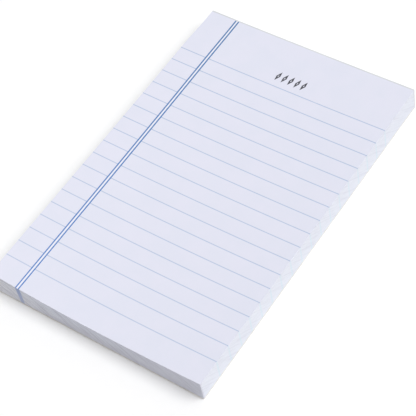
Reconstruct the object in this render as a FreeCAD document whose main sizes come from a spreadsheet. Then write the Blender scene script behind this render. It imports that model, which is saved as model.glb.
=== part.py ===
import FreeCAD, Part
import os
import Sketcher
from FreeCAD import Vector

# A glued writing pad: a block of loose sheets on a card back, held along its head by a film of glue.
# Millimetres, +X to the right across the page, +Y towards the head of the page, +Z up from the table.
# The origin is the middle of the underside of the whole pad.
# The sheets curl: the side edges stand higher than the middle of the page, most at the free foot,
# where nothing holds them, and least at the head, where the glue keeps them flat.

doc = FreeCAD.newDocument("writing_pad")

# Driving dimensions: alias, value in millimetres, and what it measures.
driving_dimensions = [
    ("page_width", 88.9, "sheet and board, side to side"),
    ("page_length", 139.1, "sheet and board, foot to head"),
    ("board_thickness", 0.8, "card back"),
    ("board_corner", 1.2, "foot corners of the card back, rounded by handling"),
    ("corner_height", 9.3, "pile of sheets at its four corners, above the board"),
    ("foot_dish", 1.4, "hollow across the foot edge"),
    ("curl_reach", 45, "where the curl is half spent, in from the foot"),
    ("curl_dish", 1.1, "hollow across the pile there"),
    ("calm_reach", 30, "where the glued head starts to hold the sheets, in from the head"),
    ("calm_dish", 0.6, "hollow across the pile there"),
    ("head_dish", 0.3, "hollow across the head edge"),
    ("side_sag", 0.33, "side edges between those two places, below the corners"),
    ("film_thickness", 0.6, "glue film, out from the head"),
    ("film_rounding", 0.3, "soft outer edges of the glue film"),
]

sizes = doc.addObject("Spreadsheet::Sheet", "Sizes")
for row, (alias, value, meaning) in enumerate(driving_dimensions, start=1):
    sizes.set("A%d" % row, alias)
    sizes.set("B%d" % row, str(value))
    sizes.set("C%d" % row, meaning)
    sizes.setAlias("B%d" % row, alias)
doc.recompute()


def size(alias):
    return float(sizes.get(alias))


def origin_plane(body, role):
    for feature in body.Origin.OriginFeatures:
        if feature.Role == role:
            return feature
    raise ValueError("no plane " + role)


def new_body(label, lift, shift):
    # A body whose own origin is the middle of its piece's underside or, for the film, of its inner edge.
    body = doc.addObject("PartDesign::Body", label)
    body.Label = label
    body.setExpression("Placement.Base.y", shift)
    body.setExpression("Placement.Base.z", lift)
    return body


def outline_sketch(body, name):
    # The page outline, centred, lying flat.
    sketch = body.newObject("Sketcher::SketchObject", name)
    sketch.AttachmentSupport = [(origin_plane(body, "XY_Plane"), "")]
    sketch.MapMode = "FlatFace"
    half_width = size("page_width") / 2
    half_length = size("page_length") / 2
    corners = [
        Vector(-half_width, -half_length, 0),
        Vector(half_width, -half_length, 0),
        Vector(half_width, half_length, 0),
        Vector(-half_width, half_length, 0),
    ]
    for index in range(4):
        sketch.addGeometry(Part.LineSegment(corners[index], corners[(index + 1) % 4]))
    for index in range(4):
        sketch.addConstraint(Sketcher.Constraint("Coincident", index, 2, (index + 1) % 4, 1))
    for foot_or_head in (0, 2):
        sketch.addConstraint(Sketcher.Constraint("Horizontal", foot_or_head))
    for side in (1, 3):
        sketch.addConstraint(Sketcher.Constraint("Vertical", side))
    sketch.addConstraint(Sketcher.Constraint("Symmetric", 0, 1, 1, 2, -1, 1))
    wide = sketch.addConstraint(Sketcher.Constraint("DistanceX", 0, 1, 0, 2, 2 * half_width))
    long = sketch.addConstraint(Sketcher.Constraint("DistanceY", 1, 1, 1, 2, 2 * half_length))
    sketch.renameConstraint(wide, "wide")
    sketch.renameConstraint(long, "long")
    sketch.setExpression("Constraints.wide", "Sizes.page_width")
    sketch.setExpression("Constraints.long", "Sizes.page_length")
    return sketch


def section_sketch(body, name, towards_foot, side_height, dish):
    # A cross-section of the pile: flat below, upright sides, and a hollow arc on top.
    # The plane's own normal points to the foot, so the offset is counted that way.
    # side_height and dish are expressions on the sheet of sizes.
    sketch = body.newObject("Sketcher::SketchObject", name)
    sketch.AttachmentSupport = [(origin_plane(body, "XZ_Plane"), "")]
    sketch.MapMode = "FlatFace"
    sketch.setExpression("AttachmentOffset.Base.z", towards_foot)
    half_width = size("page_width") / 2
    edge = size("corner_height")
    low = edge - size("foot_dish")
    left_foot = Vector(-half_width, 0, 0)
    right_foot = Vector(half_width, 0, 0)
    left_top = Vector(-half_width, edge, 0)
    right_top = Vector(half_width, edge, 0)
    arc_bottom = Vector(0, low, 0)
    base = sketch.addGeometry(Part.LineSegment(left_foot, right_foot))
    right = sketch.addGeometry(Part.LineSegment(right_foot, right_top))
    arc = sketch.addGeometry(Part.Arc(left_top, arc_bottom, right_top))
    left = sketch.addGeometry(Part.LineSegment(left_top, left_foot))
    lowest = sketch.addGeometry(Part.Point(arc_bottom), True)
    sketch.addConstraint(Sketcher.Constraint("Coincident", base, 2, right, 1))
    sketch.addConstraint(Sketcher.Constraint("Coincident", right, 2, arc, 2))
    sketch.addConstraint(Sketcher.Constraint("Coincident", arc, 1, left, 1))
    sketch.addConstraint(Sketcher.Constraint("Coincident", left, 2, base, 1))
    sketch.addConstraint(Sketcher.Constraint("Horizontal", base))
    sketch.addConstraint(Sketcher.Constraint("Vertical", right))
    sketch.addConstraint(Sketcher.Constraint("Vertical", left))
    sketch.addConstraint(Sketcher.Constraint("Equal", left, right))
    sketch.addConstraint(Sketcher.Constraint("Symmetric", base, 1, base, 2, -1, 1))
    sketch.addConstraint(Sketcher.Constraint("PointOnObject", lowest, 1, arc))
    sketch.addConstraint(Sketcher.Constraint("PointOnObject", lowest, 1, -2))
    wide = sketch.addConstraint(Sketcher.Constraint("DistanceX", base, 1, base, 2, 2 * half_width))
    high = sketch.addConstraint(Sketcher.Constraint("DistanceY", right, 1, right, 2, edge))
    middle = sketch.addConstraint(Sketcher.Constraint("DistanceY", -1, 1, lowest, 1, low))
    sketch.renameConstraint(wide, "wide")
    sketch.renameConstraint(high, "high")
    sketch.renameConstraint(middle, "middle")
    sketch.setExpression("Constraints.wide", "Sizes.page_width")
    sketch.setExpression("Constraints.high", side_height)
    sketch.setExpression("Constraints.middle", side_height + " - " + dish)
    return sketch


def make_backing_board():
    # The card back lies on the table, cut flush with the sheets.
    body = new_body("backing_board", "0", "-Sizes.film_thickness / 2")
    pad = body.newObject("PartDesign::Pad", "board_pad")
    pad.Profile = outline_sketch(body, "board_outline")
    pad.setExpression("Length", "Sizes.board_thickness")
    doc.recompute()
    foot_edges = []
    for index, edge in enumerate(pad.Shape.Edges, start=1):
        box = edge.BoundBox
        if box.ZLength > size("board_thickness") / 2 and box.YMax < 0:
            foot_edges.append("Edge%d" % index)
    rounding = body.newObject("PartDesign::Fillet", "board_corners")
    rounding.Base = (pad, foot_edges)
    rounding.setExpression("Radius", "Sizes.board_corner")
    return body


def make_sheets():
    # The pile of sheets is one block, lofted from the foot to the head.
    # Its two inner sections keep their own distances from the foot and from the head.
    body = new_body("sheets", "Sizes.board_thickness", "-Sizes.film_thickness / 2")
    corner = "Sizes.corner_height"
    sagged = "Sizes.corner_height - Sizes.side_sag"
    sections = [
        section_sketch(body, "foot_section", "Sizes.page_length / 2", corner, "Sizes.foot_dish"),
        section_sketch(
            body, "curl_section", "Sizes.page_length / 2 - Sizes.curl_reach", sagged, "Sizes.curl_dish"
        ),
        section_sketch(
            body, "calm_section", "Sizes.calm_reach - Sizes.page_length / 2", sagged, "Sizes.calm_dish"
        ),
        section_sketch(body, "head_section", "-Sizes.page_length / 2", corner, "Sizes.head_dish"),
    ]
    doc.recompute()
    loft = body.newObject("PartDesign::AdditiveLoft", "pile")
    loft.Profile = sections[0]
    loft.Sections = sections[1:]
    loft.Ruled = False
    return body


def make_glue_strip():
    # The film covers the whole head: the edges of the sheets and of the board.
    body = new_body("glue_strip", "0", "(Sizes.page_length - Sizes.film_thickness) / 2")
    pad = body.newObject("PartDesign::Pad", "film_pad")
    pad.Profile = section_sketch(
        body, "film_section", "0", "Sizes.board_thickness + Sizes.corner_height", "Sizes.head_dish"
    )
    pad.setExpression("Length", "Sizes.film_thickness")
    pad.Reversed = True
    doc.recompute()
    outer_edges = []
    for index, edge in enumerate(pad.Shape.Edges, start=1):
        box = edge.BoundBox
        if box.YMin > size("film_thickness") / 2:
            outer_edges.append("Edge%d" % index)
    rounding = body.newObject("PartDesign::Fillet", "film_edges")
    rounding.Base = (pad, outer_edges)
    rounding.setExpression("Radius", "Sizes.film_rounding")
    return body


pieces = [make_backing_board(), make_sheets(), make_glue_strip()]
doc.recompute()

for thing in doc.Objects:
    if "Invalid" in thing.State or "Error" in thing.State:
        raise RuntimeError("failed: " + thing.Name)
for piece in pieces:
    if piece.Shape.isNull() or not piece.Shape.isValid():
        raise RuntimeError("bad shape: " + piece.Label)

os.makedirs("parts", exist_ok=True)
for piece in pieces:
    piece.Shape.exportStep("parts/%s.step" % piece.Label)
    box = piece.Shape.BoundBox
    print(piece.Label, "%.2f x %.2f x %.2f mm" % (box.XLength, box.YLength, box.ZLength))
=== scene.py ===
import math
import bpy
import numpy as np
from mathutils import Matrix, Vector


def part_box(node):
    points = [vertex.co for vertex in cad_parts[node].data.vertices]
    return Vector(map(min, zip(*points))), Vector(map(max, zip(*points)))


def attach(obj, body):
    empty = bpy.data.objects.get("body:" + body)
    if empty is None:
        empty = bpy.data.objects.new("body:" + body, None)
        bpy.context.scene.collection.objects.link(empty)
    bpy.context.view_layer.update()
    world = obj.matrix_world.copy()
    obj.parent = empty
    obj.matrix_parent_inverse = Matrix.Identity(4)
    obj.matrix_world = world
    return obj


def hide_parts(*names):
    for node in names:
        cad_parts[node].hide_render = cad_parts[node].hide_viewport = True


# A small glued note pad: a block of ruled sheets on a card back, held along the head by a glue film.
# Metres, +X to the right across the page, +Y to the head, +Z up from the table.

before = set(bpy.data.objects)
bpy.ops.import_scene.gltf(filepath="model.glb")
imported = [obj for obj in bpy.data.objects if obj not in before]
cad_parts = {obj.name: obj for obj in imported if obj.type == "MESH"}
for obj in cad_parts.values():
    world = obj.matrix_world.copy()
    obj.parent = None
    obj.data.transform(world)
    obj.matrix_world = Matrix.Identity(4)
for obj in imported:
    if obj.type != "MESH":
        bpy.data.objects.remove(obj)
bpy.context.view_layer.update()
mm = 0.001

sheetsLow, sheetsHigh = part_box("sheets")
boardLow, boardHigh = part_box("backing_board")
filmLow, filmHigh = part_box("glue_strip")
footEdge = sheetsLow.y
headEdge = sheetsHigh.y
rightEdge = sheetsHigh.x
leftEdge = sheetsLow.x
pageMiddle = (footEdge + headEdge) / 2
print("frame loaded:", ", ".join(sorted(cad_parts)))


# Camera: the photograph's own angle, counted as azimuth and elevation round the pad.
cameraSetup = {
    "aim": (2.06 * mm, -4.6 * mm, 0),
    "azimuth": 44.344,
    "elevation": 52.677,
    "roll": -13.036,
    "distance": 530.24 * mm,
    "lens": 128.49,
    "clip": (0.01, 20),
}


def addCamera(setup):
    # The level camera looks along its azimuth; the roll then turns it about its own line of sight.
    azimuth = math.radians(setup["azimuth"])
    elevation = math.radians(setup["elevation"])
    roll = math.radians(setup["roll"])
    forward = Vector((-math.sin(azimuth) * math.cos(elevation),
                      math.cos(azimuth) * math.cos(elevation), -math.sin(elevation)))
    levelRight = Vector((math.cos(azimuth), math.sin(azimuth), 0))
    levelUp = levelRight.cross(forward)
    right = levelRight * math.cos(roll) + levelUp * math.sin(roll)
    up = right.cross(forward)
    turn = Matrix((right, up, -forward)).transposed().to_4x4()
    camera = bpy.data.objects.new("camera", bpy.data.cameras.new("camera"))
    camera.data.lens = setup["lens"]
    camera.data.clip_start, camera.data.clip_end = setup["clip"]
    camera.matrix_world = Matrix.Translation(Vector(setup["aim"]) - forward * setup["distance"]) @ turn
    bpy.context.scene.collection.objects.link(camera)
    bpy.context.scene.camera = camera


addCamera(cameraSetup)
print("camera placed")


# Small helpers for node trees.
def plug(tree, value, socket):
    # A socket is linked, anything else becomes the socket's own value.
    if isinstance(value, bpy.types.NodeSocket):
        tree.links.new(value, socket)
    else:
        socket.default_value = value


def addMath(tree, operation, first, second=None):
    node = tree.nodes.new("ShaderNodeMath")
    node.operation = operation
    for socket, value in zip(node.inputs, (first, second)):
        if value is not None:
            plug(tree, value, socket)
    return node.outputs[0]


def addRange(tree, value, fromLow, fromHigh, toLow=0.0, toHigh=1.0, smooth=True):
    node = tree.nodes.new("ShaderNodeMapRange")
    node.interpolation_type = "SMOOTHSTEP" if smooth else "LINEAR"
    for label, setting in (("Value", value), ("From Min", fromLow), ("From Max", fromHigh),
                           ("To Min", toLow), ("To Max", toHigh)):
        plug(tree, setting, node.inputs[label])
    return node.outputs["Result"]


def addMix(tree, factor, first, second, blend="MIX"):
    node = tree.nodes.new("ShaderNodeMix")
    node.data_type = "RGBA"
    node.blend_type = blend
    plug(tree, factor, node.inputs[0])
    plug(tree, first, node.inputs[6])
    plug(tree, second, node.inputs[7])
    return node.outputs[2]


def addNoise(tree, vector, scale, detail=2.0, roughness=0.5, distortion=0.0):
    node = tree.nodes.new("ShaderNodeTexNoise")
    plug(tree, vector, node.inputs["Vector"])
    plug(tree, scale, node.inputs["Scale"])
    node.inputs["Detail"].default_value = detail
    node.inputs["Roughness"].default_value = roughness
    node.inputs["Distortion"].default_value = distortion
    return node.outputs["Fac"]


def addSplit(tree, vector):
    node = tree.nodes.new("ShaderNodeSeparateXYZ")
    plug(tree, vector, node.inputs[0])
    return node.outputs[0], node.outputs[1], node.outputs[2]


def addJoin(tree, x, y, z):
    node = tree.nodes.new("ShaderNodeCombineXYZ")
    for socket, value in zip(node.inputs, (x, y, z)):
        plug(tree, value, socket)
    return node.outputs[0]


def roughenSurface(tree, shader, height, settings):
    bump = tree.nodes.new("ShaderNodeBump")
    bump.inputs["Strength"].default_value = settings["bumpStrength"]
    bump.inputs["Distance"].default_value = settings["bumpDistance"]
    plug(tree, height, bump.inputs["Height"])
    plug(tree, bump.outputs["Normal"], shader.inputs["Normal"])


def objectPlace(tree):
    return tree.nodes.new("ShaderNodeTexCoord").outputs["Object"]


def newGroup(name, inputs, outputs):
    # inputs are (label, kind, value) and outputs (label, kind); returns the group and its two ends.
    group = bpy.data.node_groups.new(name, "ShaderNodeTree")
    for label, kind, value in inputs:
        socket = group.interface.new_socket(label, in_out="INPUT", socket_type="NodeSocket" + kind)
        if value is not None:
            socket.default_value = value
    for label, kind in outputs:
        group.interface.new_socket(label, in_out="OUTPUT", socket_type="NodeSocket" + kind)
    entry = group.nodes.new("NodeGroupInput").outputs
    leave = group.nodes.new("NodeGroupOutput").inputs
    return group, entry, leave


def placeGroup(tree, group, settings):
    node = tree.nodes.new("ShaderNodeGroup")
    node.node_tree = group
    for label, value in settings.items():
        plug(tree, value, node.inputs[label])
    return node.outputs


def newMaterial(name, settings):
    material = bpy.data.materials.new(name)
    material.use_nodes = True
    tree = material.node_tree
    shader = tree.nodes["Principled BSDF"]
    shader.inputs["Roughness"].default_value = settings["roughness"]
    shader.inputs["Specular IOR Level"].default_value = settings["specular"]
    return material, tree, shader


def colour(red, green, blue):
    # A colour as seen on a screen, 0 to 255, turned into the linear values that sockets hold.
    seen = np.array((red, green, blue)) / 255
    linear = np.where(seen <= 0.04045, seen / 12.92, ((seen + 0.055) / 1.055) ** 2.4)
    return (*linear.tolist(), 1.0)


# The effects that the finishes are made of, as node groups.
def buildPaperGrain():
    # Fine tooth for the bump, and slow clouds of formation for the tone.
    group, entry, leave = newGroup("paper grain",
                                   (("Vector", "Vector", None), ("Tooth Size", "Float", 0.3 * mm),
                                    ("Cloud Size", "Float", 6 * mm)),
                                   (("Tooth", "Float"), ("Cloud", "Float")))
    for label, detail in (("Tooth", 3.0), ("Cloud", 4.0)):
        scale = addMath(group, "DIVIDE", 1.0, entry[label + " Size"])
        plug(group, addNoise(group, entry["Vector"], scale, detail), leave[label])
    return group


ruling = {
    "pitch": 6.36 * mm,          # quarter-inch ruling, as measured
    "firstBelowHead": 20.78 * mm,
    "evenLines": 17,
    "lastExtra": 0.5 * mm,       # the line nearest the foot stands a little further on
    "marginPlaces": (-33.04 * mm, -31.84 * mm),
    "marginDrift": 0.2 * mm,     # how far both margin lines have run to the right at the head
    "driftStart": 45 * mm,
    "bareShare": 0.7,            # part of the strip between the margin lines that is wholly bare
}


def buildRuledInk(ruling):
    # Distance to the nearest ruled line and to the nearest margin line, each turned into a soft-edged mask,
    # and a mask for the bare strip between the two margin lines.
    group, entry, leave = newGroup("ruled ink",
                                   (("Vector", "Vector", None), ("Rule Width", "Float", 0.3 * mm),
                                    ("Margin Width", "Float", 0.38 * mm), ("Softness", "Float", 0.05 * mm)),
                                   (("Rule", "Float"), ("Margin", "Float"), ("Between", "Float")))
    x, y, _ = addSplit(group, entry["Vector"])
    firstLine = headEdge - ruling["firstBelowHead"]
    lastEven = ruling["evenLines"] - 1
    lastLine = firstLine - (lastEven + 1) * ruling["pitch"] - ruling["lastExtra"]
    steps = addMath(group, "DIVIDE", addMath(group, "SUBTRACT", firstLine, y), ruling["pitch"])
    nearest = addMath(group, "MINIMUM", addMath(group, "MAXIMUM", addMath(group, "ROUND", steps), 0.0),
                      float(lastEven))
    offStep = addMath(group, "ABSOLUTE", addMath(group, "SUBTRACT", steps, nearest))
    evenGap = addMath(group, "MULTIPLY", offStep, ruling["pitch"])
    lastGap = addMath(group, "ABSOLUTE", addMath(group, "SUBTRACT", y, lastLine))
    ruleGap = addMath(group, "MINIMUM", evenGap, lastGap)
    drift = addRange(group, y, ruling["driftStart"], headEdge, 0.0, ruling["marginDrift"])
    straight = addMath(group, "SUBTRACT", x, drift)
    leftGap, rightGap = (addMath(group, "ABSOLUTE", addMath(group, "SUBTRACT", straight, place))
                         for place in ruling["marginPlaces"])
    marginGap = addMath(group, "MINIMUM", leftGap, rightGap)
    for label, gap, width in (("Rule", ruleGap, "Rule Width"), ("Margin", marginGap, "Margin Width")):
        half = addMath(group, "DIVIDE", entry[width], 2.0)
        inner = addMath(group, "SUBTRACT", half, entry["Softness"])
        outer = addMath(group, "ADD", half, entry["Softness"])
        plug(group, addRange(group, gap, inner, outer, 1.0, 0.0), leave[label])
    leftLine, rightLine = ruling["marginPlaces"]
    offMiddle = addMath(group, "ABSOLUTE", addMath(group, "SUBTRACT", straight, (leftLine + rightLine) / 2))
    halfway = (rightLine - leftLine) / 2
    between = addRange(group, offMiddle, halfway * ruling["bareShare"], halfway, 1.0, 0.0)
    plug(group, between, leave["Between"])
    return group


def buildFibreFlecks():
    # Short fibres, as thin worms where a distorted noise crosses its middle value, in patches.
    group, entry, leave = newGroup("fibre flecks",
                                   (("Vector", "Vector", None), ("Size", "Float", 1.2 * mm),
                                    ("Fineness", "Float", 0.03)),
                                   (("Fleck", "Float"),))
    scale = addMath(group, "DIVIDE", 1.0, entry["Size"])
    worms = addNoise(group, entry["Vector"], scale, detail=1.0, distortion=1.5)
    patches = addNoise(group, entry["Vector"], scale)
    middleValue = 0.5
    patchFrom, patchTo = 0.52, 0.62
    crossing = addMath(group, "ABSOLUTE", addMath(group, "SUBTRACT", worms, middleValue))
    thread = addRange(group, crossing, 0.0, entry["Fineness"], 1.0, 0.0)
    where = addRange(group, patches, patchFrom, patchTo)
    plug(group, addMath(group, "MULTIPLY", thread, where), leave["Fleck"])
    return group


paperGrain = buildPaperGrain()
ruledInk = buildRuledInk(ruling)
fibreFlecks = buildFibreFlecks()
print("shared effects built")


# The pile's top, as the four cross-sections of the solid have it.
curl = {
    "curlReach": 45 * mm,        # from the foot, where the curl is half spent
    "calmReach": 30 * mm,        # from the head, where the glue starts to hold the sheets
    "sideSag": 0.33 * mm,        # side edges between those two places, below the corners
    "hollows": (1.4 * mm, 1.1 * mm, 0.6 * mm, 0.3 * mm),   # foot, curl, calm, head
    "cockle": 0.02 * mm,         # faint waves in the paper, downwards only
    "cockleLength": 31 * mm,
    "cockleWaves": ((1.0, 0.4, 0.0), (-0.5, 0.7, 1.3), (0.35, 1.1, 4.0)),   # turns along x, along y, start
}
sectionPlaces = (footEdge, footEdge + curl["curlReach"], headEdge - curl["calmReach"], headEdge)
sideHeights = [sheetsHigh.z - sag for sag in (0, curl["sideSag"], curl["sideSag"], 0)]
# The places go into the cubics in millimetres, so that their terms are of like size.
sideCubic = np.polyfit(np.array(sectionPlaces) / mm, sideHeights, 3)
hollowCubic = np.polyfit(np.array(sectionPlaces) / mm, curl["hollows"], 3)


def asShare(waves, count):
    # A sum of this many waves that each run from -1 to 1, as a share from 0 to 1.
    return (waves + count) / (2 * count)


def pileHeight(x, y):
    # The side height and the hollow are cubics along the page through the four sections. Across the
    # page the hollow is a parabola, 1 at the middle and 0 at the sides. Three slow waves are taken off.
    side = np.polyval(sideCubic, y / mm)
    hollow = np.polyval(hollowCubic, y / mm)
    across = 1 - (x / rightEdge) ** 2
    wave = 2 * np.pi / curl["cockleLength"]
    waves = sum(np.sin(wave * (overX * x + overY * y) + start)
                for overX, overY, start in curl["cockleWaves"])
    return side - hollow * across - curl["cockle"] * asShare(waves, len(curl["cockleWaves"]))


wear = {
    "baseCorner": 0.5 * mm,      # foot corners of the board and the lowest sheets, rounded by handling
    "topCorner": 0.12 * mm,      # foot corners of the uppermost sheets
    "footSkew": 0.5 * mm,        # how far the left end of the topmost foot edge is set back
    "skewPower": 1.6,
    "headNip": 0.5 * mm,         # how far the head's left corner is set in, on the topmost sheet
    "nipReach": (50 * mm, 66 * mm),
    "nipPower": 3,
}


def roundCorners(x, y, radius, low, high):
    # Inside the square of this radius at either foot corner a point goes straight to the corner's round:
    # with across and up as its distances from the round's centre, it keeps the larger as its distance.
    across = np.clip(radius - np.minimum(x - low[0], high[0] - x), 0, None)
    up = np.clip(radius - (y - low[1]), 0, None)
    reach = np.hypot(across, up)
    kept = np.where(reach > 0, np.maximum(across, up) / np.where(reach > 0, reach, 1), 1)
    return x - np.sign(x) * across * (1 - kept), y + up * (1 - kept)


def setBackSides(x, y, share):
    # The pile isn't quite square, fully so on the topmost sheet and not at all on the board. From its
    # middle to its left end the foot edge goes back by a power of the distance, and less so towards the
    # head. Near the head the left edge goes in by a soft step along the page and a power across it.
    leftwards = np.clip(-x / rightEdge, 0, 1)
    towardsFoot = (headEdge - y) / (headEdge - footEdge)
    start, end = wear["nipReach"]
    along = np.clip((y - start) / (end - start), 0, 1)
    softStep = along ** 2 * (3 - 2 * along)
    inwards = wear["headNip"] * share * leftwards ** wear["nipPower"] * softStep
    return x + inwards, y + wear["footSkew"] * share * leftwards ** wear["skewPower"] * towardsFoot


def edgeDense(start, end, rim, rimSteps, middleSteps):
    # Places from start to end that stand close together within rim of both ends.
    toRim = rim * (1 - np.cos(np.linspace(0, np.pi / 2, rimSteps + 1)))
    middle = np.linspace(start + rim, end - rim, middleSteps + 1)
    return np.concatenate((start + toRim[:-1], middle, end - toRim[-2::-1]))


def pageGrid(rim, settings):
    # A grid over the page whose lines stand closer together within rim of its edges.
    across = edgeDense(leftEdge, rightEdge, rim, settings["rimSteps"], settings["acrossSteps"])
    along = edgeDense(footEdge, headEdge, rim, settings["rimSteps"], settings["alongSteps"])
    return np.meshgrid(across, along)


def closedSkin(name, wall, low, high):
    # A closed skin of quads. The wall is rows of points that run round the border of two grids: its first
    # row is the border of the low grid and its last row the border of the high grid.
    rows, columns = wall.shape[:2]
    down, over = low.shape[0] - 1, low.shape[1] - 1
    borderRow = np.concatenate((np.zeros(over, int), np.arange(down),
                                np.full(over, down), np.arange(down, 0, -1)))
    borderColumn = np.concatenate((np.arange(over), np.full(down, over),
                                   np.arange(over, 0, -1), np.zeros(down, int)))
    innerCount = (down - 1) * (over - 1)
    wallIndex = np.arange(rows * columns).reshape(rows, columns)
    capFaces = []
    for ring, start, flip in ((wallIndex[0], rows * columns, True),
                              (wallIndex[-1], rows * columns + innerCount, False)):
        cap = np.zeros((down + 1, over + 1), int)
        cap[borderRow, borderColumn] = ring
        cap[1:-1, 1:-1] = start + np.arange(innerCount).reshape(down - 1, over - 1)
        quads = np.stack((cap[:-1, :-1], cap[:-1, 1:], cap[1:, 1:], cap[1:, :-1]), -1).reshape(-1, 4)
        capFaces.append(quads[:, ::-1] if flip else quads)
    ahead = np.roll(wallIndex, -1, axis=1)
    wallFaces = np.stack((wallIndex[:-1], ahead[:-1], ahead[1:], wallIndex[1:]), -1).reshape(-1, 4)
    points = np.concatenate((wall.reshape(-1, 3), low[1:-1, 1:-1].reshape(-1, 3),
                             high[1:-1, 1:-1].reshape(-1, 3)))
    faces = np.concatenate((wallFaces, *capFaces))
    mesh = bpy.data.meshes.new(name)
    mesh.from_pydata(points.tolist(), [], faces.tolist())
    mesh.validate()
    mesh.shade_smooth()
    piece = bpy.data.objects.new(name, mesh)
    bpy.context.scene.collection.objects.link(piece)
    return piece


def borderOf(grid):
    # The grid's border points, in the order that closedSkin's wall runs round.
    return np.concatenate((grid[0, :-1], grid[:-1, -1], grid[-1, :0:-1], grid[:0:-1, 0]))


def finishPiece(piece, material, node, sharpAngle):
    piece.data.set_sharp_from_angle(angle=math.radians(sharpAngle))
    piece.data.materials.append(material)
    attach(piece, "root")
    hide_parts(node)
    print(piece.name, len(piece.data.polygons), "faces")


# The top sheet: the printed page, a thin sheet of its own.
topSheet = {
    "thickness": 0.115 * mm,
    "acrossSteps": 90,
    "alongSteps": 140,
    "rimSteps": 3,
    "paper": colour(230, 231, 245),
    "cloudPaper": colour(228, 230, 244),
    "ruleInk": colour(193, 212, 229),
    "marginInkFoot": colour(54, 119, 197),
    "marginInkHead": colour(44, 110, 168),
    "marginGap": colour(239, 240, 251),   # bare paper between the two margin lines
    "headingInk": colour(16, 16, 22),
    "marginWidths": (0.47 * mm, 0.58 * mm),   # at the foot and at the head
    "ruleWidth": 0.35 * mm,
    "footFade": 0.78,              # strength of the ruled lines at the foot, against 1 at the head
    "thinnestInk": 0.82,
    "toothSpan": (0.3, 0.7),       # the noise's values between which the ink thickens
    "cloudSpan": (0.35, 0.65),     # and those between which the paper takes its second tone
    "toothSize": 0.22 * mm,
    "cloudSize": 9 * mm,
    "bumpStrength": 0.25,
    "bumpDistance": 0.01 * mm,
    "roughness": 0.86,
    "specular": 0.18,
}
heading = {
    "marks": 5,
    "middle": (2.0 * mm, 16.0 * mm),   # right of the page's middle, and below the head
    "pitch": 2.75 * mm,
    "width": 1.5 * mm,
    "height": 3.4 * mm,
    "stroke": 0.52 * mm,
    "slant": 0.21,                     # sideways for each step up
    "inkEdge": (0.4, 0.6),             # parts of the stroke, out from its middle, over which the ink ends
}


def headingMask(tree, x, y, heading):
    # A row of slim slanted lozenges. On the outline |across| / half width + |up| / half height is 1.
    up = addMath(tree, "SUBTRACT", y, headEdge - heading["middle"][1])
    leaning = addMath(tree, "SUBTRACT", addMath(tree, "SUBTRACT", x, heading["middle"][0]),
                      addMath(tree, "MULTIPLY", up, heading["slant"]))
    most = (heading["marks"] - 1) / 2
    step = addMath(tree, "ROUND", addMath(tree, "DIVIDE", leaning, heading["pitch"]))
    step = addMath(tree, "MINIMUM", addMath(tree, "MAXIMUM", step, -most), most)
    across = addMath(tree, "SUBTRACT", leaning, addMath(tree, "MULTIPLY", step, heading["pitch"]))
    halfWidth = (heading["width"] - heading["stroke"]) / 2
    halfHeight = (heading["height"] - heading["stroke"]) / 2
    share = addMath(tree, "ADD", addMath(tree, "DIVIDE", addMath(tree, "ABSOLUTE", across), halfWidth),
                    addMath(tree, "DIVIDE", addMath(tree, "ABSOLUTE", up), halfHeight))
    # The share grows by one over this length, square to the lozenge's side.
    sideReach = halfWidth * halfHeight / math.hypot(halfWidth, halfHeight)
    offShare = addMath(tree, "ABSOLUTE", addMath(tree, "SUBTRACT", share, 1.0))
    offLine = addMath(tree, "MULTIPLY", offShare, sideReach)
    inner, outer = (heading["stroke"] * part for part in heading["inkEdge"])
    return addRange(tree, offLine, inner, outer, 1.0, 0.0)


def printedPaper(settings, heading):
    material, tree, shader = newMaterial("printed page", settings)
    place = objectPlace(tree)
    x, y, _ = addSplit(tree, place)
    grain = placeGroup(tree, paperGrain, {"Vector": place, "Tooth Size": settings["toothSize"],
                                          "Cloud Size": settings["cloudSize"]})
    footWidth, headWidth = settings["marginWidths"]
    marginWidth = addRange(tree, y, footEdge, headEdge, footWidth, headWidth, smooth=False)
    ink = placeGroup(tree, ruledInk, {"Vector": place, "Rule Width": settings["ruleWidth"],
                                      "Margin Width": marginWidth})
    # Ink sits unevenly on the tooth, so each mask is thinned a little by it.
    patchy = addRange(tree, grain["Tooth"], *settings["toothSpan"], settings["thinnestInk"], 1.0)
    clouds = addRange(tree, grain["Cloud"], *settings["cloudSpan"])
    page = addMix(tree, clouds, settings["paper"], settings["cloudPaper"])
    # The press laid the blue lines on a little more weakly towards the foot.
    fade = addRange(tree, y, footEdge, headEdge, settings["footFade"], 1.0, smooth=False)
    ruleShare = addMath(tree, "MULTIPLY", addMath(tree, "MULTIPLY", ink["Rule"], patchy), fade)
    page = addMix(tree, ruleShare, page, settings["ruleInk"], "MULTIPLY")
    page = addMix(tree, ink["Between"], page, settings["marginGap"])
    marginInk = addMix(tree, addRange(tree, y, footEdge, headEdge, smooth=False),
                       settings["marginInkFoot"], settings["marginInkHead"])
    page = addMix(tree, addMath(tree, "MULTIPLY", ink["Margin"], patchy), page, marginInk)
    marks = addMath(tree, "MULTIPLY", headingMask(tree, x, y, heading), patchy)
    page = addMix(tree, marks, page, settings["headingInk"])
    plug(tree, page, shader.inputs["Base Color"])
    roughenSurface(tree, shader, grain["Tooth"], settings)
    return material


def makeTopSheet(settings):
    # The upper skin is the pile's height over a grid, and the lower one is a sheet's thickness below it.
    x, y = pageGrid(wear["topCorner"], settings)
    height = pileHeight(x, y)
    x, y = roundCorners(x, y, wear["topCorner"], sheetsLow, sheetsHigh)
    upper = np.stack((*setBackSides(x, y, 1), height), -1)
    lower = upper - np.array((0, 0, settings["thickness"]))
    wall = np.stack((borderOf(lower), borderOf(upper)))
    return closedSkin("top_sheet", wall, lower, upper)


finishPiece(makeTopSheet(topSheet), printedPaper(topSheet, heading), "sheets", sharpAngle=30)


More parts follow.
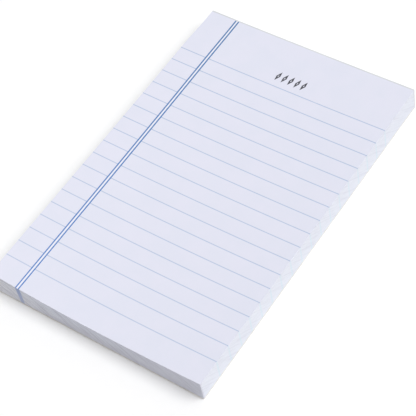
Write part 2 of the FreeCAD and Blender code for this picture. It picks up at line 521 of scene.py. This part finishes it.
# The block: every other sheet, edge by edge.
pageBlock = {
    "sheets": 79,
    "acrossSteps": 36,
    "alongSteps": 56,
    "rimSteps": 4,
    "rounding": 0.012 * mm,        # how far each sheet's cut edges are rounded back
    "shoulder": 0.28,              # share of a sheet's thickness that the rounding takes up
    "stagger": 0.012 * mm,         # how far a sheet may stand back from the cut
    "staggerRun": 5,               # sheets over which the stagger is averaged
    "wander": 0.01 * mm,           # slow waves of each cut edge
    "wanderTurns": (9, 14, 23),    # waves once round the pile
    "wanderStep": 0.5,             # how far a wave's phase moves from sheet to sheet, in radians
    "seed": 7,
    "sideEdges": colour(231, 234, 243),
    # The foot face's tones below are painted light and shade: lighter than the side edges high up, darker
    # towards the base, lighter at the left end and darker at the right end.
    "footEdgesLitHigh": colour(239, 242, 253),
    "footEdgesShadedLow": colour(233, 234, 243),     # painted shade, darker towards the base
    "footEdgesLitLeft": colour(248, 249, 255),
    "footEdgesShadedRight": colour(228, 229, 240),
    "heightTurn": 0.85,            # share of the height by which the foot face has its painted lit tone
    "leftTurn": (0.35, 1.0),       # parts of the half width over which the left end's painted light comes in
    "rightTurn": (0.0, 0.6),
    "rightShare": 0.85,            # how much of the right end's painted shade is taken
    "footTurn": (0.55 * mm, 0.8 * mm),         # in from the foot, where the sides' tone takes over
    "strataDark": colour(207, 207, 220),
    "darkSpan": (0.45, 0.7),       # the noises' values between which the dark tone comes in
    "layerDepth": 0.9,             # how much of the dark tone the strata and the blade's nicks take
    "nickDepth": 0.95,
    "sideDepth": 0.35,             # the same on the sides, against 1 at the foot
    "strataLength": 20 * mm,       # one cell of the strata's noise, along the edge
    "strataSheets": 2,             # and up the pile, in sheets
    "nicksAlong": 900.0,           # the blade's nicks, per metre along the edge
    "nicksUp": 1100.0,             # and per metre straight up, which gives them their slant
    "nickChange": 120.0,           # how fast they change on their way up
    "nickStart": 3.0,              # where their noise starts, so that it differs from the strata's
    "nickRelief": 0.6,             # their height, against 1 for the strata
    "ruleStreak": colour(212, 231, 240),
    "ruleStreakShare": 0.5,
    "ruleStreakWidth": 0.7 * mm,
    "ruleStreakSoftness": 0.3 * mm,
    "marginStreak": colour(176, 189, 226),
    "streakBase": (-32.85 * mm, -31.2 * mm),   # the margin ink's band, left and right, on the board
    "streakTop": (-33.4 * mm, -31.45 * mm),    # and at the top page
    "streakSoftness": 0.25 * mm,
    "streakBaseShare": 0.7,        # the band's strength on the board, against 1 at the top page
    "roughness": 0.9,
    "specular": 0.12,
    "bumpStrength": 0.3,
    "bumpDistance": 0.02 * mm,
}


def cutEdges(settings):
    # Painted light and shade on the foot face by height and towards its ends, strata by sheet, ink that
    # shows at the sheets' edges, and the blade's slanting marks.
    material, tree, shader = newMaterial("cut sheet edges", settings)
    place = objectPlace(tree)
    x, y, z = addSplit(tree, place)
    level = tree.nodes.new("ShaderNodeAttribute")
    level.attribute_name = "sheetLevel"
    share = level.outputs["Fac"]
    run = addMath(tree, "ADD", x, y)
    cellsAlong = addMath(tree, "MULTIPLY", run, 1 / settings["strataLength"])
    cellsUp = addMath(tree, "MULTIPLY", share, settings["sheets"] / settings["strataSheets"])
    strata = addNoise(tree, addJoin(tree, cellsAlong, cellsUp, 0.0), 1.0, detail=3.0, roughness=0.6)
    nicksAlong = addMath(tree, "MULTIPLY", run, settings["nicksAlong"])
    nicksAcross = addMath(tree, "ADD", nicksAlong, addMath(tree, "MULTIPLY", z, settings["nicksUp"]))
    nicksChange = addMath(tree, "MULTIPLY", z, settings["nickChange"])
    bladePlace = addJoin(tree, nicksAcross, nicksChange, settings["nickStart"])
    blade = addNoise(tree, bladePlace, 1.0, detail=2.0, roughness=0.55)
    # The foot face's tone is painted light and shade: lighter than the side edges, darker towards the base,
    # lighter towards its left end and darker towards its right end.
    foot = addMix(tree, addRange(tree, share, 0.0, settings["heightTurn"]),
                  settings["footEdgesShadedLow"], settings["footEdgesLitHigh"])
    leftFrom, leftTo = (leftEdge * part for part in settings["leftTurn"])
    rightFrom, rightTo = (rightEdge * part for part in settings["rightTurn"])
    foot = addMix(tree, addRange(tree, x, leftFrom, leftTo), foot, settings["footEdgesLitLeft"])
    foot = addMix(tree, addRange(tree, x, rightFrom, rightTo, 0.0, settings["rightShare"]), foot,
                  settings["footEdgesShadedRight"])
    footFrom, footTo = (footEdge + reach for reach in settings["footTurn"])
    atFoot = addRange(tree, y, footFrom, footTo, 1.0, 0.0)
    tone = addMix(tree, atFoot, settings["sideEdges"], foot)
    marked = addRange(tree, atFoot, 0.0, 1.0, settings["sideDepth"], 1.0)
    for noise, depth in ((strata, "layerDepth"), (blade, "nickDepth")):
        dark = addRange(tree, noise, *settings["darkSpan"], 0.0, settings[depth])
        tone = addMix(tree, addMath(tree, "MULTIPLY", dark, marked), tone, settings["strataDark"])
    ink = placeGroup(tree, ruledInk, {"Vector": place, "Rule Width": settings["ruleStreakWidth"],
                                      "Softness": settings["ruleStreakSoftness"]})
    ruleShare = addMath(tree, "MULTIPLY", ink["Rule"], settings["ruleStreakShare"])
    tone = addMix(tree, ruleShare, tone, settings["ruleStreak"])
    # The margin ink makes one band down the pile, whose left side leans in towards the base.
    (lowLeft, lowRight), (highLeft, highRight) = settings["streakBase"], settings["streakTop"]
    bandLeft = addRange(tree, share, 0.0, 1.0, lowLeft, highLeft, smooth=False)
    bandRight = addRange(tree, share, 0.0, 1.0, lowRight, highRight, smooth=False)
    inside = addMath(tree, "MINIMUM", addMath(tree, "SUBTRACT", x, bandLeft),
                     addMath(tree, "SUBTRACT", bandRight, x))
    band = addRange(tree, inside, -settings["streakSoftness"], settings["streakSoftness"])
    strength = addRange(tree, share, 0.0, 1.0, settings["streakBaseShare"], 1.0)
    tone = addMix(tree, addMath(tree, "MULTIPLY", band, strength), tone, settings["marginStreak"])
    plug(tree, tone, shader.inputs["Base Color"])
    relief = addMath(tree, "ADD", strata, addMath(tree, "MULTIPLY", blade, settings["nickRelief"]))
    roughenSurface(tree, shader, relief, settings)
    return material


def makePageBlock(settings):
    # Round the border and up the pile. Each sheet has a foot, two shoulders and the next sheet's foot, and
    # the height share follows the curled top. Inwards go the rounding, the sheet's stagger and its waves.
    random = np.random.default_rng(settings["seed"])
    x, y = pageGrid(wear["baseCorner"], settings)
    top = pileHeight(x, y) - topSheet["thickness"]
    ring = borderOf(np.stack((x, y, top), -1))
    count = settings["sheets"]
    tiny = 1e-6
    parts = np.array((0, settings["shoulder"], 1 - settings["shoulder"]))
    share = np.append((np.arange(count)[:, None] + parts).ravel(), count) / count
    back = np.append(np.tile((settings["rounding"], 0, 0), count), settings["rounding"])
    sheetOf = np.minimum((share * count + tiny).astype(int), count - 1)
    run = settings["staggerRun"]
    stagger = np.convolve(random.random(count + run - 1), np.ones(run) / run, "valid") * settings["stagger"]
    turn = np.arange(len(ring)) / len(ring) * 2 * np.pi
    turns = settings["wanderTurns"]
    phases = np.cumsum(random.normal(0, settings["wanderStep"], (count, len(turns))), axis=0)
    waves = sum(np.sin(turn * times + phases[:, index, None]) for index, times in enumerate(turns))
    wander = settings["wander"] * asShare(waves[sheetOf], len(turns))
    inwards = back[:, None] + stagger[sheetOf][:, None] + wander
    # Inwards is towards the middle in x along the side walls and in y along the foot and head walls.
    onSide = np.isclose(np.abs(ring[:, 0]), rightEdge)
    onEnd = np.isclose(ring[:, 1], footEdge) | np.isclose(ring[:, 1], headEdge)
    wall = np.zeros((len(share), len(ring), 3))
    wall[..., 0] = ring[:, 0] - inwards * np.sign(ring[:, 0]) * onSide
    wall[..., 1] = ring[:, 1] - inwards * np.sign(ring[:, 1] - pageMiddle) * onEnd
    wall[..., 2] = boardHigh.z + share[:, None] * (ring[:, 2] - boardHigh.z)
    # The corners are rounder from sheet to sheet down the pile.
    worn = wear["topCorner"] + (wear["baseCorner"] - wear["topCorner"]) * (1 - share[:, None])
    wall[..., 0], wall[..., 1] = roundCorners(wall[..., 0], wall[..., 1], worn, sheetsLow, sheetsHigh)
    wall[..., 0], wall[..., 1] = setBackSides(wall[..., 0], wall[..., 1], share[:, None])
    caps = []
    base = np.full_like(x, boardHigh.z)
    for radius, capShare, height in ((wear["baseCorner"], 0, base), (wear["topCorner"], 1, top)):
        capX, capY = setBackSides(*roundCorners(x, y, radius, sheetsLow, sheetsHigh), capShare)
        caps.append(np.stack((capX, capY, height), -1))
    low, high = caps
    piece = closedSkin("page_block", wall, low, high)
    # The finish reads the height share from an attribute: the wall's points, then those inside each cap.
    inside = low[1:-1, 1:-1, 0]
    level = np.concatenate((np.repeat(share, len(ring)), np.zeros(inside.size), np.ones(inside.size)))
    attribute = piece.data.attributes.new("sheetLevel", "FLOAT", "POINT")
    attribute.data.foreach_set("value", level.astype(np.float32))
    return piece


finishPiece(makePageBlock(pageBlock), cutEdges(pageBlock), "sheets", sharpAngle=50)


# The card back: one board, cut with the sheets.
cardBack = {
    "edgeRounding": 0.035 * mm,    # softness of the cut edges
    "fibre": 0.02 * mm,            # unevenness of the cut
    "acrossSteps": 60,
    "alongSteps": 92,
    "rimSteps": 5,
    "seed": 3,
    "board": colour(238, 236, 234),
    "boardDark": colour(230, 227, 223),
    "fleck": colour(168, 160, 150),
    "toothSize": 0.35 * mm,
    "cloudSize": 4 * mm,
    "cloudSpan": (0.3, 0.7),
    "fleckSize": 1.1 * mm,
    "fleckFineness": 0.035,
    "fleckShare": 0.5,             # how much of its tone a fibre takes
    "fleckDepth": 0.3,             # how far it is sunk, against 1 for the paper's tooth
    "roughness": 0.92,
    "specular": 0.12,
    "bumpStrength": 0.4,
    "bumpDistance": 0.03 * mm,
}


def greyCard(settings):
    material, tree, shader = newMaterial("card", settings)
    place = objectPlace(tree)
    grain = placeGroup(tree, paperGrain, {"Vector": place, "Tooth Size": settings["toothSize"],
                                          "Cloud Size": settings["cloudSize"]})
    fleck = placeGroup(tree, fibreFlecks, {"Vector": place, "Size": settings["fleckSize"],
                                           "Fineness": settings["fleckFineness"]})["Fleck"]
    clouds = addRange(tree, grain["Cloud"], *settings["cloudSpan"])
    board = addMix(tree, clouds, settings["board"], settings["boardDark"])
    board = addMix(tree, addMath(tree, "MULTIPLY", fleck, settings["fleckShare"]), board, settings["fleck"])
    plug(tree, board, shader.inputs["Base Color"])
    sunk = addMath(tree, "MULTIPLY", fleck, settings["fleckDepth"])
    relief = addMath(tree, "SUBTRACT", grain["Tooth"], sunk)
    roughenSurface(tree, shader, relief, settings)
    return material


def makeCardBack(settings):
    # A flat slab whose wall is a quarter round, an upright and a quarter round, with a fibrous cut.
    random = np.random.default_rng(settings["seed"])
    bend = settings["edgeRounding"]
    quarter = np.radians((0, 22.5, 45, 67.5, 90))
    halfWay = np.full(1, (boardLow.z + boardHigh.z) / 2)
    lift = np.concatenate((boardLow.z + bend * (1 - np.cos(quarter)), halfWay,
                           boardHigh.z - bend * (1 - np.sin(quarter))))
    back = np.concatenate((bend * (1 - np.sin(quarter)), np.zeros(1), bend * (1 - np.cos(quarter))))
    x, y = roundCorners(*pageGrid(wear["baseCorner"], settings), wear["baseCorner"], boardLow, boardHigh)
    ring = borderOf(np.stack((x, y), -1))
    inwards = back[:, None] + settings["fibre"] * random.random((len(lift), len(ring)))
    middle = np.array((0, pageMiddle))
    half = np.array((rightEdge, (headEdge - footEdge) / 2))
    shrink = 1 - inwards[..., None] / half
    wall = np.zeros((len(lift), len(ring), 3))
    wall[..., :2] = middle + (ring - middle) * shrink
    wall[..., 2] = lift[:, None]
    low = np.stack((x, y, np.full_like(x, boardLow.z)), -1)
    high = np.stack((x, y, np.full_like(x, boardHigh.z)), -1)
    return closedSkin("card_back", wall, low, high)


finishPiece(makeCardBack(cardBack), greyCard(cardBack), "backing_board", sharpAngle=60)


# The glue film: brushed along the head, over the ends of the sheets and of the board.
glueFilm = {
    "rounding": 0.1 * mm,
    "brushDepth": 0.03 * mm,       # how far the brush's troughs go in
    "acrossSteps": 160,
    "upSteps": 24,
    "rimSteps": 7,
    "seed": 11,
    "glue": colour(219, 222, 225),
    "glueThin": colour(210, 213, 217),
    "leastThickness": 0.1 * mm,                        # what the rounded rim keeps at its very edge
    "brushPitches": (0.9 * mm, 2.3 * mm, 3.1 * mm),    # troughs up the head, as their length per radian
    "brushDrifts": (11 * mm, 17 * mm, 6 * mm),         # and how slowly each changes across the head
    "driftShare": 0.8,
    "strokeScales": (60.0, 400.0, 900.0),              # the strokes' noise: long across, short up
    "strokeSpan": (0.35, 0.65),
    "lumpScale": 400.0,
    "lumpSpan": (0.3, 0.7),
    "lumpRelief": 0.5,                                 # the lumps' height, against 1 for the strokes
    "roughness": 0.42,
    "roughnessTurn": (-0.08, 0.12),                    # how the lumps change it
    "specular": 0.4,
    "bumpStrength": 0.35,
    "bumpDistance": 0.05 * mm,
}


def driedGlue(settings):
    material, tree, shader = newMaterial("dried padding glue", settings)
    place = objectPlace(tree)
    drawnOut = addJoin(tree, *(addMath(tree, "MULTIPLY", length, times)
                               for length, times in zip(addSplit(tree, place), settings["strokeScales"])))
    strokes = addNoise(tree, drawnOut, 1.0, detail=3.0, roughness=0.6)
    lumps = addNoise(tree, place, settings["lumpScale"])
    thin = addRange(tree, strokes, *settings["strokeSpan"])
    plug(tree, addMix(tree, thin, settings["glue"], settings["glueThin"]), shader.inputs["Base Color"])
    smoothest, roughest = (settings["roughness"] + turn for turn in settings["roughnessTurn"])
    uneven = addRange(tree, lumps, *settings["lumpSpan"], smoothest, roughest)
    plug(tree, uneven, shader.inputs["Roughness"])
    relief = addMath(tree, "ADD", strokes, addMath(tree, "MULTIPLY", lumps, settings["lumpRelief"]))
    roughenSurface(tree, shader, relief, settings)
    return material


def makeGlueFilm(settings):
    # Over a grid across the head and up it, the film stands out by its thickness, less a round at its rim:
    # near the rim the two distances into the round make a ball corner. Brush troughs are taken off.
    random = np.random.default_rng(settings["seed"])
    thickness = filmHigh.y - filmLow.y
    bend = settings["rounding"]
    across = edgeDense(filmLow.x, filmHigh.x, bend, settings["rimSteps"], settings["acrossSteps"])
    upShare = edgeDense(0, 1, bend / filmHigh.z, settings["rimSteps"], settings["upSteps"])
    x, share = np.meshgrid(across, upShare)
    topHere = pileHeight(np.clip(x, leftEdge, rightEdge), np.full_like(x, headEdge))
    z = filmLow.z + share * (topHere - filmLow.z)
    intoSide = np.clip(bend - (rightEdge - np.abs(x)), 0, bend)
    intoEnd = np.clip(bend - np.minimum(z - filmLow.z, topHere - z), 0, bend)
    roundedBack = bend - np.sqrt(np.clip(bend ** 2 - intoSide ** 2 - intoEnd ** 2, 0, None))
    phases = random.random(6) * 2 * np.pi
    fine, wide, lumpy = settings["brushPitches"]
    fineDrift, wideDrift, lumpyDrift = settings["brushDrifts"]
    troughs = (np.sin(z / fine + phases[0] + settings["driftShare"] * np.sin(x / fineDrift + phases[1]))
               + np.sin(z / wide + phases[2] + np.sin(x / wideDrift + phases[3]))
               + np.sin(x / lumpyDrift + phases[4]) * np.sin(z / lumpy + phases[5]))
    y = filmLow.y + thickness - roundedBack - settings["brushDepth"] * asShare(troughs, 3)
    x = setBackSides(x, y, share)[0]
    outer = np.stack((x, np.maximum(y, filmLow.y + settings["leastThickness"]), z), -1)
    inner = np.stack((x, np.full_like(x, filmLow.y), z), -1)
    wall = np.stack((borderOf(outer), borderOf(inner)))
    return closedSkin("glue_film", wall, outer, inner)


finishPiece(makeGlueFilm(glueFilm), driedGlue(glueFilm), "glue_strip", sharpAngle=40)


# Floor and light. Rays from the lens, off gloss and through glass see a white floor and backdrop, and
# all other rays see the studio's own levels.
studio = {
    "floorSize": 3.0,
    "floorPaint": (0.95, 0.95, 0.95, 1),
    "floorSeen": (1, 1, 1, 1),
    "floorLift": 0.025,
    "sky": 0.25,                         # light from all round
    "wall": 0.35,                        # what the bright half of the room adds, behind the head
    "wallDirection": (0.20, 0.93, 0.31),
    "wallStep": (-0.1, 0.17),            # cosines of the angle to it, over which that light comes in
    "keyDirection": (0.55, 0.14, 1.0),   # from the pad towards the lamp
    "keyLevel": 0.52,                    # what the lamp adds to a level surface
    "keyAngle": 40,
}


def seenRay(tree):
    # 1 for rays that show the floor or the backdrop as such: from the camera, from gloss and through glass.
    path = tree.nodes.new("ShaderNodeLightPath").outputs
    return addMath(tree, "MAXIMUM", path["Is Camera Ray"],
                   addMath(tree, "MAXIMUM", path["Is Glossy Ray"], path["Is Transmission Ray"]))


def mixShaders(tree, factor, first, second):
    node = tree.nodes.new("ShaderNodeMixShader")
    for socket, value in zip(node.inputs, (factor, first, second)):
        tree.links.new(value, socket)
    return node.outputs[0]


def makeFloor(settings):
    reach = settings["floorSize"] / 2
    mesh = bpy.data.meshes.new("floor")
    corners = [(-reach, -reach, 0), (reach, -reach, 0), (reach, reach, 0), (-reach, reach, 0)]
    mesh.from_pydata(corners, [], [(0, 1, 2, 3)])
    floor = bpy.data.objects.new("floor", mesh)
    bpy.context.scene.collection.objects.link(floor)
    material = bpy.data.materials.new("floor")
    material.use_nodes = True
    tree = material.node_tree
    tree.nodes.remove(tree.nodes["Principled BSDF"])
    paint, seen = (tree.nodes.new("ShaderNodeBsdfDiffuse") for _ in range(2))
    paint.inputs["Color"].default_value = settings["floorPaint"]
    seen.inputs["Color"].default_value = settings["floorSeen"]
    lift = tree.nodes.new("ShaderNodeEmission")
    lift.inputs["Strength"].default_value = settings["floorLift"]
    lifted = tree.nodes.new("ShaderNodeAddShader")
    tree.links.new(seen.outputs[0], lifted.inputs[0])
    tree.links.new(lift.outputs[0], lifted.inputs[1])
    mixed = mixShaders(tree, seenRay(tree), paint.outputs[0], lifted.outputs[0])
    tree.links.new(mixed, tree.nodes["Material Output"].inputs["Surface"])
    mesh.materials.append(material)


def makeLight(settings):
    world = bpy.data.worlds.new("studio")
    world.use_nodes = True
    bpy.context.scene.world = world
    tree = world.node_tree
    room = tree.nodes["Background"]
    backdrop = tree.nodes.new("ShaderNodeBackground")
    for node in (room, backdrop):
        node.inputs["Color"].default_value = (1, 1, 1, 1)
    backdrop.inputs["Strength"].default_value = 1.0
    # The room is brighter on the side of the pad's head: a soft step by the angle from that wall's middle.
    facing = tree.nodes.new("ShaderNodeVectorMath")
    facing.operation = "DOT_PRODUCT"
    plug(tree, tree.nodes.new("ShaderNodeTexCoord").outputs["Generated"], facing.inputs[0])
    facing.inputs[1].default_value = settings["wallDirection"]
    level = addRange(tree, facing.outputs["Value"], *settings["wallStep"],
                     settings["sky"], settings["sky"] + settings["wall"])
    plug(tree, level, room.inputs["Strength"])
    mixed = mixShaders(tree, seenRay(tree), room.outputs[0], backdrop.outputs[0])
    tree.links.new(mixed, tree.nodes["World Output"].inputs["Surface"])
    key = bpy.data.objects.new("key", bpy.data.lights.new("key", "SUN"))
    towards = Vector(settings["keyDirection"]).normalized()
    key.data.energy = settings["keyLevel"] * math.pi / towards.z
    key.data.angle = math.radians(settings["keyAngle"])
    key.rotation_mode = "QUATERNION"
    key.rotation_quaternion = towards.to_track_quat("Z", "Y")
    bpy.context.scene.collection.objects.link(key)
    bpy.context.scene.view_settings.view_transform = "Standard"


makeFloor(studio)
makeLight(studio)
print("floor and light placed")
